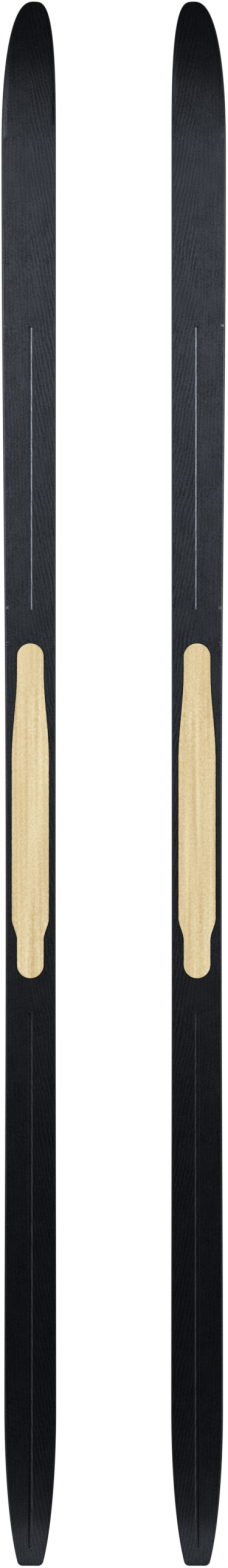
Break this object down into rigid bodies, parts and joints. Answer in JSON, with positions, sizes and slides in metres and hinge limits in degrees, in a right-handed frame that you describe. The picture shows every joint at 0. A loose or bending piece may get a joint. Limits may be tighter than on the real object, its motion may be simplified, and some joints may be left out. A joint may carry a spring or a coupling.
{
  "type": "pair of nordic touring skis with bindings",
  "caption": "Pair of narrow edgeless touring skis stood upright, each with an inset plush kick skin in its grooved base and a bar binding with lever, jaw and heel bail on top.",
  "frame": {"origin": "on the floor under the tails, midway between the two skis, in the plane of their base contact lines", "axes": "+Z from tails to tips, bases face -Y, bindings on the +Y side, left ski on -X"},
  "size_m": [0.2874, 0.0622, 2.0001],
  "materials": {
    "base_plastic": "stone-ground polyethylene",
    "kick_plush": "short woven mohair pile",
    "skin_glue": "adhesive film",
    "glass_laminate": "glass fibre in resin",
    "core_wood": "laminated paulownia",
    "reinforcement_sheet": "phenolic sheet",
    "topsheet_film": "satin film",
    "sidewall_abs": "milled",
    "binding_steel": "zinc plated",
    "binding_plastic": "fine grain",
    "lever_alloy": "bead blasted",
    "bright_steel": "drawn",
    "screw_steel": "zinc plated",
    "flexor_rubber": "moulded",
    "pad_rubber": "moulded"
  },
  "bodies": {
    "skis": {"left_base_sheet": "base_plastic", "left_kick_skin": "kick_plush", "left_skin_adhesive": "skin_glue", "left_lower_laminate": "glass_laminate", "left_wood_core": "core_wood", "left_binding_reinforcement": "reinforcement_sheet", "left_upper_laminate": "glass_laminate", "left_topsheet": "topsheet_film", "left_outer_sidewall": "sidewall_abs", "left_inner_sidewall": "sidewall_abs", "left_tip_spacer": "sidewall_abs", "left_tail_protector": "sidewall_abs", "left_toe_plate": "binding_steel", "left_toe_housing": "binding_plastic", "left_lever_pin": "bright_steel", "left_jaw_spring": "bright_steel", "left_flexor": "flexor_rubber", "left_toe_screws": "screw_steel", "left_heel_plate": "binding_plastic", "left_heel_pad": "pad_rubber", "left_heel_screws": "screw_steel", "right_base_sheet": "base_plastic", "right_kick_skin": "kick_plush", "right_skin_adhesive": "skin_glue", "right_lower_laminate": "glass_laminate", "right_wood_core": "core_wood", "right_binding_reinforcement": "reinforcement_sheet", "right_upper_laminate": "glass_laminate", "right_topsheet": "topsheet_film", "right_outer_sidewall": "sidewall_abs", "right_inner_sidewall": "sidewall_abs", "right_tip_spacer": "sidewall_abs", "right_tail_protector": "sidewall_abs", "right_toe_plate": "binding_steel", "right_toe_housing": "binding_plastic", "right_lever_pin": "bright_steel", "right_jaw_spring": "bright_steel", "right_flexor": "flexor_rubber", "right_toe_screws": "screw_steel", "right_heel_plate": "binding_plastic", "right_heel_pad": "pad_rubber", "right_heel_screws": "screw_steel"},
    "left_jaw": {"left_toe_jaw": "binding_steel"},
    "left_lever": {"left_toe_lever": "lever_alloy"},
    "left_bail": {"left_climbing_bail": "bright_steel"},
    "right_jaw": {"right_toe_jaw": "binding_steel"},
    "right_lever": {"right_toe_lever": "lever_alloy"},
    "right_bail": {"right_climbing_bail": "bright_steel"}
  },
  "joints": [
    {"name": "left_lever_lift", "type": "hinge", "parent": "skis", "child": "left_lever", "pos_m": [-0.1067, 0.04109, 1.046], "axis": [-1, 0, 0], "range_deg": [0, 90]},
    {"name": "left_jaw_slide", "type": "slide", "parent": "skis", "child": "left_jaw", "axis": [0, 0, 1], "range_m": [0, 0.006], "deforming": ["left_jaw_spring"]},
    {"name": "left_bail_fold", "type": "hinge", "parent": "skis", "child": "left_bail", "pos_m": [-0.1067, 0.0342, 0.739], "axis": [-1, 0, 0], "range_deg": [0, 95]},
    {"name": "right_lever_lift", "type": "hinge", "parent": "skis", "child": "right_lever", "pos_m": [0.1067, 0.04109, 1.046], "axis": [-1, 0, 0], "range_deg": [0, 90]},
    {"name": "right_jaw_slide", "type": "slide", "parent": "skis", "child": "right_jaw", "axis": [0, 0, 1], "range_m": [0, 0.006], "deforming": ["right_jaw_spring"]},
    {"name": "right_bail_fold", "type": "hinge", "parent": "skis", "child": "right_bail", "pos_m": [0.1067, 0.0342, 0.739], "axis": [-1, 0, 0], "range_deg": [0, 95]}
  ],
  "couplings": [
    {"joint": "left_jaw_slide", "follows": "left_lever_lift", "m_per_rad": 0.003819},
    {"joint": "right_jaw_slide", "follows": "right_lever_lift", "m_per_rad": 0.003819}
  ]
}
